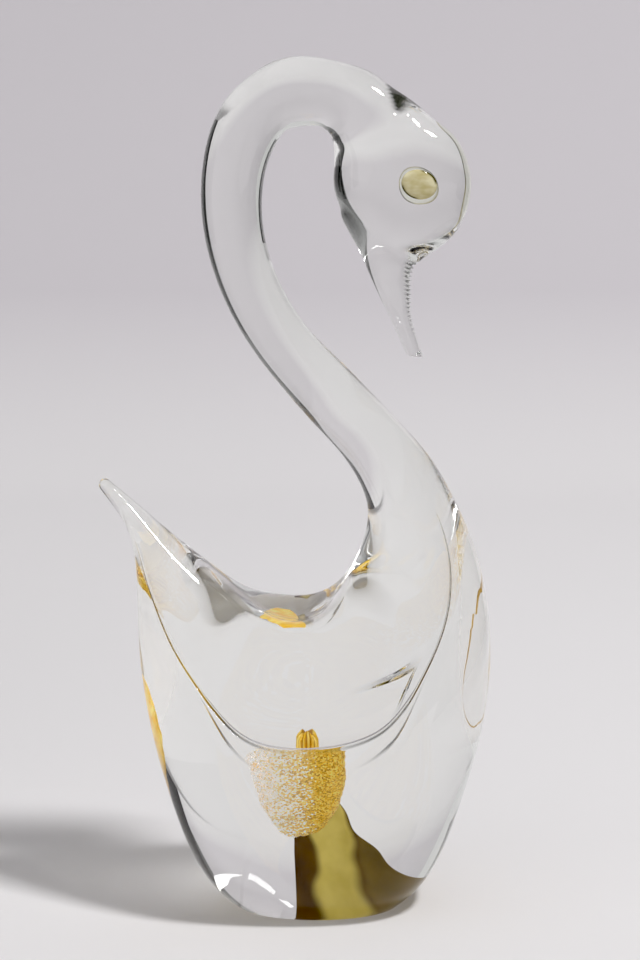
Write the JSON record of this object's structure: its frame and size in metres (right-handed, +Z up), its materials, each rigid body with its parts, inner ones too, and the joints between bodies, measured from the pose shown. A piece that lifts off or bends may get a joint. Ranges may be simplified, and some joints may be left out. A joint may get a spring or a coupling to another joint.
{
  "type": "glass swan figurine",
  "caption": "Solid clear glass swan figurine with folded wings, an upturned tail, an S-shaped neck and set amber glass eyes, standing on a ground flat base.",
  "frame": {"origin": "middle of the overall box seen from above, on the plane of the ground base", "axes": "+Z up, +X from the tail towards the chest, +Y to the swan's left side; the XZ plane is the plane of symmetry"},
  "size_m": [0.1385, 0.083, 0.2997],
  "materials": {
    "clear_glass": "fire-polished solid clear glass",
    "amber_glass": "olive amber glass drops pressed into the head"
  },
  "bodies": {
    "root": {"glass_swan": "clear_glass", "right_eye": "amber_glass", "left_eye": "amber_glass"}
  },
  "joints": []
}
